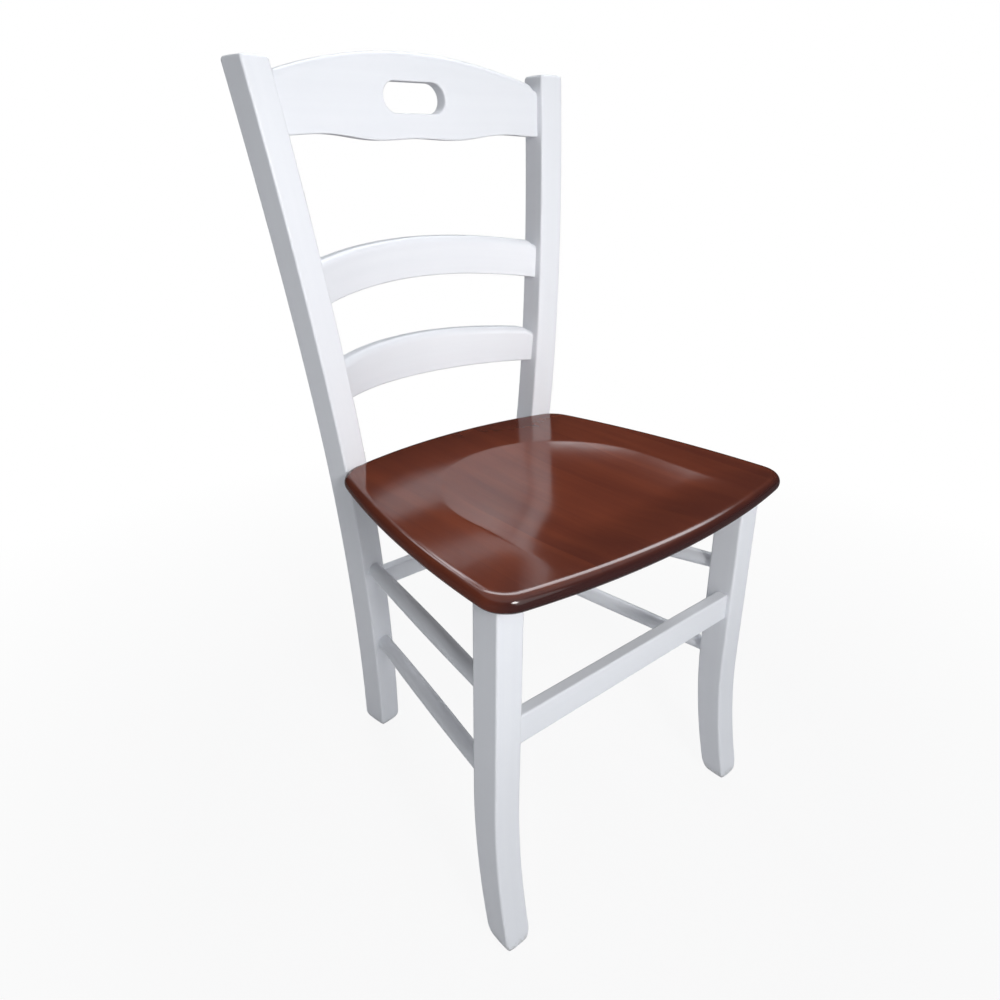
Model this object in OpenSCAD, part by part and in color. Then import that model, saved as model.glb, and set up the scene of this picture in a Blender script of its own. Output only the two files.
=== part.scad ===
// Painted wooden side chair: white frame with a bowed back, and a dished brown seat.
// Heights are measured from the floor, depths from the front face of the front legs.

/* [Overall] */
// Height of the back posts
back_h = 884; // [800:1:1060]
// Height of the seat rim
seat_h = 452; // [380:1:545]

/* [Seat] */
// Thickness of the seat board
seat_t = 20; // [18:0.5:30]
// Width of the seat across its front corners
seat_front_w = 449; // [440:1:550]
// Width of the seat across its back corners
seat_back_w = 352; // [345:1:440]
// Seat board in front of the front legs
seat_overhang = 46; // [36:1:70]
// Bow of the seat's front edge
seat_front_bow = 26; // [8:1:32]
// Bow of the seat's back edge
seat_back_bow = 26; // [8:1:36]
// Bow of the seat's side edges
seat_side_bow = 12.5; // [4:0.5:20]
// Reach of the seat behind the back posts' front face
seat_reach = 28; // [20:1:36]
// Corner radius of the seat
seat_corner_r = 36; // [20:1:45]
// Radius of the dish in the seat
dish_r = 148; // [110:1:165]
// Depth of the dish
dish_depth = 8; // [3:0.5:11]
// Flat rim behind the dish, to the middle of the seat's back edge
dish_rim = 88; // [45:1:110]

/* [Front legs] */
// Outer width of the front legs at the seat
leg_spread = 413; // [360:1:470]
// Outward lean of each front leg, in degrees
leg_splay = 0.8; // [0:0.1:4]
// Width of a front leg
leg_w = 33; // [27:0.5:45]
// Depth of a front leg under the seat
leg_d = 37; // [30:0.5:48]
// Depth of a front leg at the floor
foot_d = 33; // [26:0.5:44]
// Forward sweep of the front foot
foot_sweep = 24; // [5:1:40]
// Height at which the forward sweep starts
sweep_h = 190; // [140:1:240]

/* [Back posts] */
// Depth from the front legs' front face to the back posts' front face, at the seat
post_y = 323; // [270:1:390]
// Outer width of the back posts at the seat
post_spread = 338; // [300:1:406]
// Outward lean of each back post, in degrees
post_splay = 6.45; // [3:0.05:8]
// Turn of each back post towards the middle, in degrees
post_turn = 7.5; // [0:0.5:12]
// Width of a back post
post_w = 33; // [28:0.5:42]
// Depth of a back post
post_d = 38.5; // [32:0.5:50]
// Backward lean of the post tops
back_rake = 44.7; // [20:0.1:70]
// Backward kick of the rear feet
foot_kick = 52; // [20:1:80]
// Rounding of the post tops
post_top_r = 5; // [2:0.5:8]

/* [Crest rail] */
// Drop from the tops of the posts to the crest rail's top edge
crest_drop = 12.5; // [5:0.5:40]
// Rise of the crest rail's top edge at the middle
crest_arch = 28.5; // [10:0.5:45]
// Height of the crest rail at the posts
crest_w = 61; // [50:1:80]
// Waviness of the crest rail's lower edge
crest_wave = 1.6; // [0:0.1:4]
// Bow of the crest rail
crest_bow = 11.5; // [8:0.5:50]
// Crest rail behind the front faces of the posts
crest_setback = 10; // [4:0.5:14]
// Length of the hand slot
slot_l = 86; // [70:1:120]
// Height of the hand slot
slot_w = 33; // [28:0.5:42]
// Height of the hand slot's middle above the crest rail's lower edge
slot_up = 42; // [36:0.5:52]

/* [Slats] */
// Thickness of the crest rail and the slats
slat_t = 18; // [14:0.5:22]
// Slats behind the front faces of the posts
slat_setback = 12; // [4:0.5:16]
// Height of the upper slat's middle above the seat
upper_rise = 210; // [170:1:250]
// Height of the upper slat
upper_w = 47; // [36:0.5:62]
// Upward arch of the upper slat
upper_arch = 12.5; // [0:0.5:20]
// Bow of the upper slat
upper_bow = 38; // [10:1:60]
// Height of the lower slat's middle above the seat
lower_rise = 98; // [75:1:130]
// Height of the lower slat
lower_w = 44; // [34:0.5:58]
// Upward arch of the lower slat's top edge
lower_arch = 5.5; // [0:0.5:15]
// Bow of the lower slat
lower_bow = 50; // [10:1:60]

/* [Stretchers] */
// Height of the upper side stretchers at the front legs
upper_front_z = 318; // [260:1:370]
// Height of the upper side stretchers at the back posts
upper_back_z = 300; // [260:1:370]
// Height of the left lower side stretcher at its front leg
left_front_z = 212; // [150:1:235]
// Height of the left lower side stretcher at its back post
left_back_z = 174; // [150:1:235]
// Height of the right lower side stretcher at its front leg
right_front_z = 189; // [150:1:235]
// Height of the right lower side stretcher at its back post
right_back_z = 212; // [150:1:235]
// Diameter of a side stretcher at its middle
rod_dia = 21; // [17:0.5:26]
// Diameter of a side stretcher at its shoulders
rod_end_dia = 18; // [15:0.5:24]
// Height of the front stretcher's lower edge
front_bar_z = 253; // [215:1:300]
// Height of the front stretcher
front_bar_w = 35; // [28:0.5:42]
// Front stretcher behind the legs' front faces
front_bar_setback = 6; // [2:0.5:12]
// Thickness of the front and rear stretchers
bar_t = 15; // [12:0.5:18]
// Height of the rear stretcher's lower edge
rear_bar_z = 258; // [220:1:310]
// Height of the rear stretcher
rear_bar_w = 25; // [20:0.5:32]
// Rear stretcher behind the back posts' front faces
rear_bar_setback = 12; // [6:0.5:18]

/* [Joints] */
// Diameter of the dowels
dowel_dia = 8; // [6:0.5:9]
// Length of a dowel
dowel_l = 28; // [22:1:32]
// Diameter of the side stretchers' round tenons
tenon_dia = 12; // [9:0.5:14]
// Length of the side stretchers' round tenons
tenon_l = 18; // [12:0.5:21]
// Clearance round a dowel or a tenon
fit = 0.1; // [0.05:0.05:0.3]

/* [Hidden] */
$fn = 64;

left = -1;
right = 1;
white = [0.92, 0.93, 0.96];
brown = [0.40, 0.19, 0.15];
beech = [0.80, 0.66, 0.48];

curve_steps = 18;              // straight steps along a bent post or leg
arris = 2;                     // width of the flats on a post's long corners
rake_power = 1.7;              // how late the back posts lean back above the seat
kick_power = 1.85;             // how late the rear feet kick back below it
bore_extra = 1;                // depth of a bore past its dowel or tenon
cover = 5;                     // wood left between the dish and a dowel under it
reach = 600;                   // longer than any rail, for cutting shapes
seat_under = seat_h - seat_t;
crest_top = back_h - crest_drop;
upper_z = seat_h + upper_rise;
lower_z = seat_h + lower_rise;
dowel_pitch = 0.45;            // gap between the two dowels of a joint, as a share of its rail

// The back posts: a square section carried along a bent, leaning path.
function rake(z) = z > seat_h
    ? back_rake * pow((z - seat_h) / (back_h - seat_h), rake_power)
    : foot_kick * pow((seat_h - z) / seat_h, kick_power);
function rake_angle(z) = atan(rake(z + 1) - rake(z));
function post_outer_x(z) = post_spread / 2 + (z - seat_h) * tan(post_splay);
function post_front_y(z) = post_y + rake(z);
function post_inner_x(z) = post_outer_x(z) - post_w * cos(post_turn);
function post_inner_y(z) = post_front_y(z) + post_w * sin(post_turn);

// A point of the right post: a in from its outer side, b back from its front face.
function post_point(z, a, b) = [
    post_outer_x(z) - a * cos(post_turn) + b * sin(post_turn),
    post_front_y(z) + a * sin(post_turn) + b * cos(post_turn),
    z
];

// The corners of the section, drawn in by an inset, with a flat on each corner.
function section(z, inset) = let (
    lo = inset,
    wide = post_w - inset,
    deep = post_d - inset,
    c = arris
) [
    for (p = [[lo + c, lo], [wide - c, lo], [wide, lo + c], [wide, deep - c],
              [wide - c, deep], [lo + c, deep], [lo, deep - c], [lo, lo + c]])
        post_point(z, p[0], p[1])
];

// Heights and insets of the rings, from the floor to the rounded top.
top_steps = 3;
function ring_z(k) = k <= curve_steps
    ? (back_h - post_top_r) * k / curve_steps
    : back_h - post_top_r * (1 - sin(90 * (k - curve_steps) / top_steps));
function ring_inset(k) = k <= curve_steps
    ? 0
    : post_top_r * (1 - cos(90 * (k - curve_steps) / top_steps));

module post_blank() {
    last = curve_steps + top_steps;
    points = [for (k = [0:last]) each section(ring_z(k), ring_inset(k))];
    n = len(section(0, 0));
    sides = [for (k = [0:last - 1], i = [0:n - 1])
        [k * n + i, k * n + (i + 1) % n, (k + 1) * n + (i + 1) % n, (k + 1) * n + i]];
    polyhedron(points, concat([[for (i = [n - 1:-1:0]) i]], sides,
                              [[for (i = [0:n - 1]) last * n + i]]), convexity = 4);
}

// The front legs: a board cut to a forward sweep at the foot, leaning outwards.
function leg_front(z) = z < sweep_h ? -foot_sweep * pow((sweep_h - z) / sweep_h, 2) : 0;
function leg_back(z) = leg_front(z) + foot_d + (leg_d - foot_d) * min(1, z / sweep_h);
function leg_outer_x(z) = leg_spread / 2 + (seat_under - z) * tan(leg_splay);
function leg_middle_x(z) = leg_outer_x(z) - leg_w / cos(leg_splay) / 2;

module leg_blank() {
    heights = concat([for (k = [0:curve_steps]) sweep_h * k / curve_steps], [seat_under]);
    levels = len(heights);
    front = [for (z = heights) [leg_front(z), z]];
    back = [for (k = [levels - 1:-1:0]) [leg_back(heights[k]), heights[k]]];
    below_front = [[leg_front(0), -leg_w]];
    below_back = [[leg_back(0), -leg_w]];
    intersection() {
        translate([leg_spread / 2, 0, seat_under])
            rotate([0, -leg_splay, 0])
                translate([-leg_w, 0, -seat_under])
                    rotate([90, 0, 90])
                        linear_extrude(height = leg_w)
                            polygon(concat(below_front, front, back, below_back));
        translate([0, -reach / 2, 0])
            cube([reach, reach, seat_under]);
    }
}

module leg_solid(side) {
    mirror([side < 0 ? 1 : 0, 0, 0]) {
        difference() {
            leg_blank();
            rod_tenon(upper_ends, fit, bore_extra);
            rod_tenon(lower_ends(side), fit, bore_extra);
            front_bar_pins(fit, bore_extra);
            leg_pins(fit, bore_extra);
        }
    }
}

module post_solid(side) {
    mirror([side < 0 ? 1 : 0, 0, 0]) {
        difference() {
            post_blank();
            rod_tenon(upper_ends, fit, bore_extra);
            rod_tenon(lower_ends(side), fit, bore_extra);
            board_pins(crest_mid, crest_w, crest_setback, crest_bow, fit, bore_extra);
            board_pins(upper_z, upper_w, slat_setback, upper_bow, fit, bore_extra);
            board_pins(lower_z, lower_w, slat_setback, lower_bow, fit, bore_extra);
            rear_bar_pins(fit, bore_extra);
            seat_pins(fit, bore_extra);
        }
    }
}

// A dowel across a joint, or with slack and extra depth the bore it sits in.
module pin(length, dia, slack, extra) {
    cylinder(h = length + 2 * extra, d = dia + 2 * slack, center = true);
}

// Side stretchers: turned rods, thick at the middle, with a round tenon at each end. The ends
// of a rod are its heights at the front leg and at the back post.
upper_ends = [upper_front_z, upper_back_z];
function lower_ends(side) =
    side < 0 ? [left_front_z, left_back_z] : [right_front_z, right_back_z];
function on_leg(z) = [leg_middle_x(z), leg_back(z), z];
function on_post(z) = [
    (post_outer_x(z) + post_inner_x(z)) / 2,
    (post_front_y(z) + post_inner_y(z)) / 2,
    z
];
function rod_way(ends) = on_post(ends[1]) - on_leg(ends[0]);
function rod_heading(ends) = atan2(-rod_way(ends)[0], rod_way(ends)[1]);
function rod_rise(ends) = asin(rod_way(ends)[2] / norm(rod_way(ends)));

module along_rod(ends) {
    translate(on_leg(ends[0]))
        rotate([rod_rise(ends) - 90, 0, rod_heading(ends)])
            children();
}

module rod_tenon(ends, slack, extra) {
    along_rod(ends)
        translate([0, 0, -tenon_l - extra])
            cylinder(h = norm(rod_way(ends)) + 2 * (tenon_l + extra), d = tenon_dia + 2 * slack);
}

module rod(ends) {
    length = norm(rod_way(ends));
    run = rod_end_dia;           // the rod's body runs into the legs, and is trimmed there
    bulge_r = (pow(length / 2, 2) + pow((rod_dia - rod_end_dia) / 2, 2)) / (rod_dia - rod_end_dia);
    profile = [for (k = [0:curve_steps])
        let (s = length * (2 * k / curve_steps - 1) / 2)
            [rod_dia / 2 - bulge_r + sqrt(bulge_r * bulge_r - s * s), s + length / 2]];
    difference() {
        along_rod(ends)
            rotate_extrude()
                polygon(concat([[0, -run / 2], [rod_end_dia / 2, -run / 2]], profile,
                               [[rod_end_dia / 2, length + run / 2], [0, length + run / 2]]));
        leg_blank();
        post_blank();
    }
    rod_tenon(ends, 0, 0);
}

// Crest rail and slats: boards bowed in plan, leaning with the posts.
crest_mid = crest_top - crest_w / 2;
function board_chord(z) = post_inner_x(z);
function bow_radius(z, bow) = (pow(board_chord(z), 2) + bow * bow) / (2 * bow);

module along_board(z, setback) {
    translate([0, post_inner_y(z) + setback, z])
        rotate([-rake_angle(z), 0, 0])
            children();
}

// The board runs into the posts far enough to meet them all over its ends, and is trimmed there.
module board(z, setback, bow, rise) {
    r = bow_radius(z, bow);
    half = board_chord(z) + post_d * sin(post_turn) + rise * tan(post_splay);
    tall = 4 * rise;
    difference() {
        intersection() {
            along_board(z, setback)
                translate([0, bow - r, -tall / 2])
                    difference() {
                        cylinder(h = tall, r = r + slat_t, $fn = 360);
                        translate([0, 0, -1])
                            cylinder(h = tall + 2, r = r, $fn = 360);
                    }
            facing(z)
                intersection() {
                    children();
                    square([2 * half, tall], center = true);
                }
        }
        post_blank();
        mirror([1, 0, 0])
            post_blank();
    }
}

// A flat outline, seen from the front at a height, carried backwards.
module facing(z) {
    translate([0, post_y + reach, z])
        rotate([90, 0, 0])
            linear_extrude(height = reach)
                children();
}

// An outline between two edges given as lists of heights at even steps across the board.
edge_steps = 32;
function across(k, z) = (board_chord(z) + post_w) * (2 * k / edge_steps - 1);
function arch_at(x, z) = 1 - pow(x / board_chord(z), 2);
wave_fall = 1.8;               // how much lower the wave runs in the middle than at its ends
function wave_at(x, z) = let (u = 180 * abs(x) / board_chord(z)) cos(3 * u) - wave_fall * cos(u);

module outline(z, low, high, low_arch, high_arch, wave) {
    polygon(concat(
        [for (k = [0:edge_steps])
            let (x = across(k, z))
                [x, low + low_arch * arch_at(x, z) + wave * wave_at(x, z)]],
        [for (k = [edge_steps:-1:0])
            let (x = across(k, z))
                [x, high + high_arch * arch_at(x, z)]]));
}

module hand_slot() {
    straight = slot_l - slot_w;
    translate([0, post_y, crest_top - crest_w + slot_up])
        rotate([90, 0, 0]) {
            for (end = [left, right])
                translate([end * straight / 2, 0, 0])
                    cylinder(h = reach, d = slot_w, center = true);
            cube([straight, slot_w, reach], center = true);
        }
}

// The dowels at the right end of a bowed board follow the board's own direction there.
module board_pins(z, width, setback, bow, slack, extra) {
    slope = asin(board_chord(z) / bow_radius(z, bow));
    along_board(z, setback)
        for (end = [left, right])
            translate([board_chord(z), slat_t / 2 / cos(slope), end * width * dowel_pitch / 2])
                rotate([0, 90, -slope])
                    pin(dowel_l, dowel_dia, slack, extra);
}

module board_holes(z, width, setback, bow) {
    board_pins(z, width, setback, bow, fit, bore_extra);
    mirror([1, 0, 0])
        board_pins(z, width, setback, bow, fit, bore_extra);
}

// Flat stretchers between the legs and between the posts.
front_bar_mid = front_bar_z + front_bar_w / 2;
rear_bar_mid = rear_bar_z + rear_bar_w / 2;
front_bar_y = leg_front(front_bar_mid) + front_bar_setback;
rear_bar_y = post_inner_y(rear_bar_mid) + rear_bar_setback;

module front_bar_pins(slack, extra) {
    for (end = [left, right])
        translate([leg_outer_x(front_bar_mid) - leg_w, front_bar_y + bar_t / 2,
                   front_bar_mid + end * front_bar_w * dowel_pitch / 2])
            rotate([0, 90, 0])
                pin(dowel_l, dowel_dia, slack, extra);
}

module rear_bar_pins(slack, extra) {
    for (end = [left, right])
        translate([post_inner_x(rear_bar_mid), rear_bar_y + bar_t / 2,
                   rear_bar_mid + end * rear_bar_w * dowel_pitch / 2])
            rotate([0, 90, 0])
                pin(dowel_l, dowel_dia, slack, extra);
}

// Dowels up from the front leg into the seat, and forwards from the back post into it.
leg_pin_rise = seat_t - dish_depth - cover;

module leg_pins(slack, extra) {
    for (end = [left, right])
        translate([leg_middle_x(seat_under), leg_d * (1 + end * dowel_pitch) / 2,
                   seat_under + leg_pin_rise - dowel_l / 2])
            pin(dowel_l, dowel_dia, slack, extra);
}

module seat_pins(slack, extra) {
    middle = seat_h - seat_t / 2;
    for (end = [left, right])
        translate(post_point(middle, post_w * (1 + end * dowel_pitch) / 2, 0))
            rotate([90, 0, -post_turn])
                pin(dowel_l, dowel_dia, slack, extra);
}

// The seat: four bowed edges between rounded corners, a full round on its edge, and a dish.
seat_back = post_y + seat_reach;
dish_y = seat_back - dish_rim - dish_r;
front_corner = [seat_front_w / 2, seat_front_bow - seat_overhang];
back_corner = [seat_back_w / 2, seat_back - seat_back_bow];
function edge_radius(half, bow) = (half * half + bow * bow) / (2 * bow);

// The disc whose rim is the bowed side edge between the two corners.
module side_disc() {
    run = back_corner - front_corner;
    disc_r = edge_radius(norm(run) / 2, seat_side_bow);
    translate((front_corner + back_corner) / 2)
        rotate([0, 0, atan2(-run[0], run[1])])
            translate([seat_side_bow - disc_r, 0])
                circle(r = disc_r, $fn = 360);
}

module seat_outline() {
    front_r = edge_radius(front_corner[0], seat_front_bow);
    back_r = edge_radius(back_corner[0], seat_back_bow);
    offset(r = seat_corner_r)
        offset(delta = -seat_corner_r)
            intersection() {
                translate([0, front_r - seat_overhang])
                    circle(r = front_r, $fn = 360);
                translate([0, seat_back - back_r])
                    circle(r = back_r, $fn = 360);
                side_disc();
                mirror([1, 0, 0])
                    side_disc();
            }
}

edge_rings = 8;                // layers round the seat's edge, from its underside to its rim

module seat_blank() {
    edge_r = seat_t / 2;
    sliver = 0.02;               // thickness of a layer
    hull()
        for (k = [0:edge_rings])
            translate([0, 0, seat_under + (edge_r - sliver / 2) * (1 - cos(180 * k / edge_rings))])
                linear_extrude(height = sliver)
                    offset(delta = -edge_r * (1 - sin(180 * k / edge_rings)))
                        seat_outline($fn = 48);
}

module seat_panel() {
    ball_r = (dish_r * dish_r + dish_depth * dish_depth) / (2 * dish_depth);
    color(brown)
        difference() {
            seat_blank();
            translate([0, dish_y, seat_h - dish_depth + ball_r])
                sphere(r = ball_r, $fn = 180);
            for (side = [0, 1])
                mirror([side, 0, 0]) {
                    post_blank();
                    leg_pins(fit, bore_extra);
                    seat_pins(fit, bore_extra);
                }
        }
}

module left_front_leg() {
    color(white)
        leg_solid(left);
}

module right_front_leg() {
    color(white)
        leg_solid(right);
}

module left_back_post() {
    color(white)
        post_solid(left);
}

module right_back_post() {
    color(white)
        post_solid(right);
}

module crest_rail() {
    color(white)
        difference() {
            board(crest_mid, crest_setback, crest_bow, crest_w / 2 + crest_arch)
                outline(crest_mid, -crest_w / 2, crest_w / 2, 0, crest_arch, crest_wave);
            hand_slot();
            board_holes(crest_mid, crest_w, crest_setback, crest_bow);
        }
}

module upper_back_slat() {
    color(white)
        difference() {
            board(upper_z, slat_setback, upper_bow, upper_w / 2 + upper_arch)
                outline(upper_z, -upper_w / 2, upper_w / 2, upper_arch, upper_arch, 0);
            board_holes(upper_z, upper_w, slat_setback, upper_bow);
        }
}

module lower_back_slat() {
    color(white)
        difference() {
            board(lower_z, slat_setback, lower_bow, lower_w / 2 + lower_arch)
                outline(lower_z, -lower_w / 2, lower_w / 2, -lower_arch / 2, lower_arch, 0);
            board_holes(lower_z, lower_w, slat_setback, lower_bow);
        }
}

module front_stretcher() {
    half = leg_outer_x(front_bar_z) - leg_w / 2;
    color(white)
        difference() {
            translate([-half, front_bar_y, front_bar_z])
                cube([2 * half, bar_t, front_bar_w]);
            for (side = [0, 1])
                mirror([side, 0, 0]) {
                    leg_blank();
                    front_bar_pins(fit, bore_extra);
                }
        }
}

module rear_stretcher() {
    half = post_outer_x(rear_bar_z) - post_w / 2;
    color(white)
        difference() {
            translate([-half, rear_bar_y, rear_bar_z])
                cube([2 * half, bar_t, rear_bar_w]);
            for (side = [0, 1])
                mirror([side, 0, 0]) {
                    post_blank();
                    rear_bar_pins(fit, bore_extra);
                }
        }
}

module side_rod(side, ends) {
    color(white)
        mirror([side < 0 ? 1 : 0, 0, 0])
            rod(ends);
}

module both_sides() {
    color(beech)
        for (side = [0, 1])
            mirror([side, 0, 0])
                children();
}

// The whole chair is drawn about the middle of its depth.
crest_back = post_inner_y(crest_mid) + crest_setback
    + (crest_bow + slat_t) / cos(rake_angle(crest_mid))
    + (crest_w / 2 + crest_arch) * tan(rake_angle(crest_mid));
foot_back = post_point(0, post_w, post_d)[1];
middle_y = (max(crest_back, foot_back) - seat_overhang) / 2;

module placed() {
    translate([0, -middle_y, 0])
        children();
}

placed() seat_panel();
placed() left_front_leg();
placed() right_front_leg();
placed() left_back_post();
placed() right_back_post();
placed() crest_rail();
placed() upper_back_slat();
placed() lower_back_slat();
placed() front_stretcher();
placed() rear_stretcher();
placed() side_rod(left, upper_ends);  // left_upper_stretcher
placed() side_rod(right, upper_ends);  // right_upper_stretcher
placed() side_rod(left, lower_ends(left));  // left_lower_stretcher
placed() side_rod(right, lower_ends(right));  // right_lower_stretcher
placed() both_sides()  // crest_dowels
    board_pins(crest_mid, crest_w, crest_setback, crest_bow, 0, 0);
placed() both_sides()  // upper_slat_dowels
    board_pins(upper_z, upper_w, slat_setback, upper_bow, 0, 0);
placed() both_sides()  // lower_slat_dowels
    board_pins(lower_z, lower_w, slat_setback, lower_bow, 0, 0);
placed() both_sides()  // front_stretcher_dowels
    front_bar_pins(0, 0);
placed() both_sides()  // rear_stretcher_dowels
    rear_bar_pins(0, 0);
placed() both_sides()  // leg_dowels
    leg_pins(0, 0);
placed() both_sides()  // seat_dowels
    seat_pins(0, 0);
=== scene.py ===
from math import asin, atan, atan2, cos, hypot, pi, radians, sin, sqrt, tan

import bpy
from mathutils import Matrix, Vector


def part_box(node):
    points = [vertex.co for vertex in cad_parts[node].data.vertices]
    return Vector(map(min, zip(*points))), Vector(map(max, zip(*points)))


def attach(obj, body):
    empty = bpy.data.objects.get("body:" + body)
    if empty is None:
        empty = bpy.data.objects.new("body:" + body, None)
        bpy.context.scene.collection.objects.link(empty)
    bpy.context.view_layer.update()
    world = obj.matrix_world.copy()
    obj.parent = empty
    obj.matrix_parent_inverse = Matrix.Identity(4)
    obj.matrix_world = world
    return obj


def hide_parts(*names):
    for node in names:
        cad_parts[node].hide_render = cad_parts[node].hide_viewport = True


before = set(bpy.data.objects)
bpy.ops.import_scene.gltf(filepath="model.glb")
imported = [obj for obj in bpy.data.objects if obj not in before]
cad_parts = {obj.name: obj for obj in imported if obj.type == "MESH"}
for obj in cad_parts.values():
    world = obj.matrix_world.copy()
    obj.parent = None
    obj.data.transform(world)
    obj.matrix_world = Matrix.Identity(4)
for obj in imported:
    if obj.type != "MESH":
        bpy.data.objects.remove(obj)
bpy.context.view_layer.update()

mm = 0.001
print("chair: frame loaded, %d wooden parts" % len(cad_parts))


# a number that flows through a node tree, so that sums read as sums
class fieldValue:
    def __init__(self, tree, socket):
        self.tree = tree
        self.socket = socket

    def join(self, operation, *others):
        node = self.tree.nodes.new("ShaderNodeMath")
        node.operation = operation
        for slot, value in zip(node.inputs, (self,) + others):
            feed(self.tree, slot, value)
        return fieldValue(self.tree, node.outputs[0])

    def __add__(self, other):
        return self.join("ADD", other)

    def __sub__(self, other):
        return self.join("SUBTRACT", other)

    def __rsub__(self, other):
        return self.join("MULTIPLY", -1.0).join("ADD", other)

    def __mul__(self, other):
        return self.join("MULTIPLY", other)

    def __truediv__(self, other):
        return self.join("DIVIDE", other)

    def __pow__(self, other):
        return self.join("POWER", other)

    def clip(self):
        return self.join("MAXIMUM", 0.0).join("MINIMUM", 1.0)

    def root(self):
        return self.join("MAXIMUM", 0.0).join("SQRT")

    def sine(self):
        return self.join("SINE")

    def cosine(self):
        return self.join("COSINE")


def feed(tree, slot, value):
    if isinstance(value, fieldValue):
        tree.links.new(value.socket, slot)
    elif isinstance(value, bpy.types.NodeSocket):
        tree.links.new(value, slot)
    else:
        slot.default_value = value


def addNode(tree, kind, inputs=None, **settings):
    node = tree.nodes.new(kind)
    for name, value in settings.items():
        setattr(node, name, value)
    for name, value in (inputs or {}).items():
        feed(tree, node.inputs[name], value)
    return node


def joinVector(tree, x, y, z):
    return addNode(tree, "ShaderNodeCombineXYZ", {"X": x, "Y": y, "Z": z}).outputs[0]


def splitVector(tree, vector):
    node = addNode(tree, "ShaderNodeSeparateXYZ", {"Vector": vector})
    return [fieldValue(tree, slot) for slot in node.outputs]


def fieldPoint(tree):
    return splitVector(tree, tree.nodes.new("GeometryNodeInputPosition").outputs[0])


def startTree(name, numbers):
    tree = bpy.data.node_groups.new(name, "GeometryNodeTree")
    tree.is_modifier = True
    tree.interface.new_socket("Mesh", in_out="INPUT", socket_type="NodeSocketGeometry")
    for label in numbers:
        tree.interface.new_socket(label, in_out="INPUT", socket_type="NodeSocketFloat")
    tree.interface.new_socket("Paint", in_out="INPUT", socket_type="NodeSocketMaterial")
    tree.interface.new_socket("Mesh", in_out="OUTPUT", socket_type="NodeSocketGeometry")
    entry = tree.nodes.new("NodeGroupInput")
    given = {label: fieldValue(tree, entry.outputs[label]) for label in numbers}
    given["Paint"] = entry.outputs["Paint"]
    given["Mesh"] = entry.outputs["Mesh"]
    return tree, given


def endTree(tree, given, mesh):
    smooth = addNode(tree, "GeometryNodeSetShadeSmooth", {"Geometry": mesh})
    paint = addNode(tree, "GeometryNodeSetMaterial",
                    {"Geometry": smooth.outputs[0], "Material": given["Paint"]})
    finish = tree.nodes.new("NodeGroupOutput")
    tree.links.new(paint.outputs[0], finish.inputs[0])
    return tree


def place(tree, mesh, x, y, z):
    return addNode(tree, "GeometryNodeSetPosition",
                   {"Geometry": mesh, "Position": joinVector(tree, x, y, z)}).outputs[0]


def keepGrain(tree, mesh, x, y, z):
    return addNode(tree, "GeometryNodeStoreNamedAttribute",
                   {"Geometry": mesh, "Name": "grain", "Value": joinVector(tree, x, y, z)},
                   data_type="FLOAT_VECTOR", domain="POINT").outputs["Geometry"]


def dressed(piece, tree, values, paint):
    modifier = piece.modifiers.new(tree.name, "NODES")
    modifier.node_group = tree
    for item in tree.interface.items_tree:
        if item.item_type == "SOCKET" and item.in_out == "INPUT":
            if item.name in values:
                modifier[item.identifier] = float(values[item.name])
            elif item.name == "Paint":
                modifier[item.identifier] = paint
    return piece


def settled(piece):
    graph = bpy.context.evaluated_depsgraph_get()
    mesh = bpy.data.meshes.new_from_object(piece.evaluated_get(graph),
                                           preserve_all_data_layers=True, depsgraph=graph)
    piece.modifiers.clear()
    piece.data = mesh
    return piece


def newPiece(name, points=(), faces=()):
    mesh = bpy.data.meshes.new(name)
    mesh.from_pydata([tuple(p) for p in points], [], [tuple(f) for f in faces])
    piece = bpy.data.objects.new(name, mesh)
    bpy.context.scene.collection.objects.link(piece)
    return piece


def handOver(piece, slot, *nodes):
    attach(piece, "root")
    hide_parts(*nodes)


def easeIn(value, low, high):
    t = min(1.0, max(0.0, (value - low) / (high - low)))
    return t * t * (3 - 2 * t)


lacquerLook = {
    "colour": (0.86, 0.875, 0.91, 1.0),
    "shade": (0.81, 0.825, 0.865, 1.0),
    "scuff": (0.50, 0.48, 0.45, 1.0),
    "roughness": 0.38,
    "shine": 0.38,
    "streaks": (95.0, 95.0, 2.2),       # fine across the grain, long along it
    "streakTone": 0.9,
    "streakDepth": 0.00012,
    "cloudScale": 9.0,
    "cloudTone": 0.6,
    "baseTone": 0.25,
    "peelScale": 420.0,                 # the slight orange peel of sprayed paint
    "peelDepth": 0.00002,
    "scuffHeight": 0.012,               # the feet are knocked this far up
    "scuffScale": 260.0,
    "scuffFrom": 0.47,
    "scuffContrast": 9.0,
    "scuffShare": 0.7,
}

varnishLook = {
    "light": (0.318, 0.073, 0.031, 1.0),
    "dark": (0.116, 0.027, 0.017, 1.0),
    # the edge colour: partly a darker toner stain, partly painted shade on the seat's rounded edge
    # and underside
    "rim": (0.042, 0.015, 0.014, 1.0),
    "roughness": 0.13,
    "shine": 0.44,
    "grain": (34.0, 2.6, 34.0),
    "figureTone": 0.8,
    "figureDepth": 0.00006,
    "cloudScale": 6.0,
    "cloudTone": 0.5,
    "pores": (520.0, 14.0, 520.0),
    "poreFrom": 0.45,
    "poreContrast": 2.5,
    "poreShare": 0.12,
    "boards": 0.075,                    # width of the boards glued up for the seat
    "boardSeed": 7.31,
    "boardShift": (0.37, 1.7),          # so that no board carries on its neighbour's grain
    "boardTone": 0.16,
    "toneDrop": 0.28,
    "waveScale": 55.0,                  # the varnish isn't quite level
    "waveDepth": 0.00006,
}

beechLook = {
    "light": (0.62, 0.44, 0.27, 1.0),
    "dark": (0.47, 0.31, 0.18, 1.0),
    "roughness": 0.6,
    "grain": (60.0, 260.0, 260.0),
    "grainDepth": 0.0001,
}


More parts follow.
